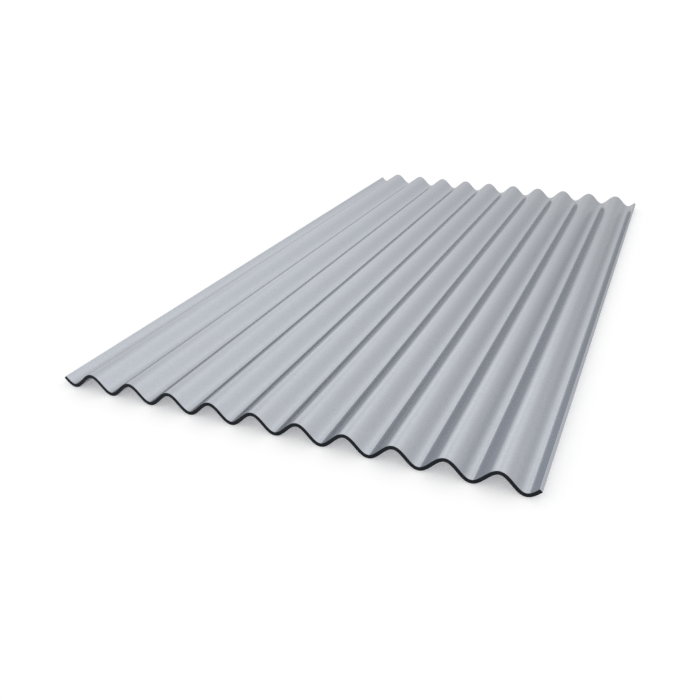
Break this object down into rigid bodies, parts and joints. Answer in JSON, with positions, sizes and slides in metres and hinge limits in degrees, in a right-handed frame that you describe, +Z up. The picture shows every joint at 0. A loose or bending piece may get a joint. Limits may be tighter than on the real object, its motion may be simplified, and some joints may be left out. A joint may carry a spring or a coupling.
{
  "type": "corrugated metal sheet",
  "caption": "Rectangular galvanised steel sheet rolled into parallel rounded waves, with square cut ends and short upturned side lips, for roofing, cladding and liner walls.",
  "frame": {"origin": "on the floor under the middle valley, half way along the sheet", "axes": "+X across the waves, +Y along the waves away from the viewer's end of the sheet, +Z up"},
  "size_m": [0.8044, 1.5, 0.031],
  "materials": {
    "galvanised_steel": "dull galvanised zinc, light grey, with a faint fine spangle"
  },
  "bodies": {
    "root": {"corrugated_sheet": "galvanised_steel"}
  },
  "joints": []
}
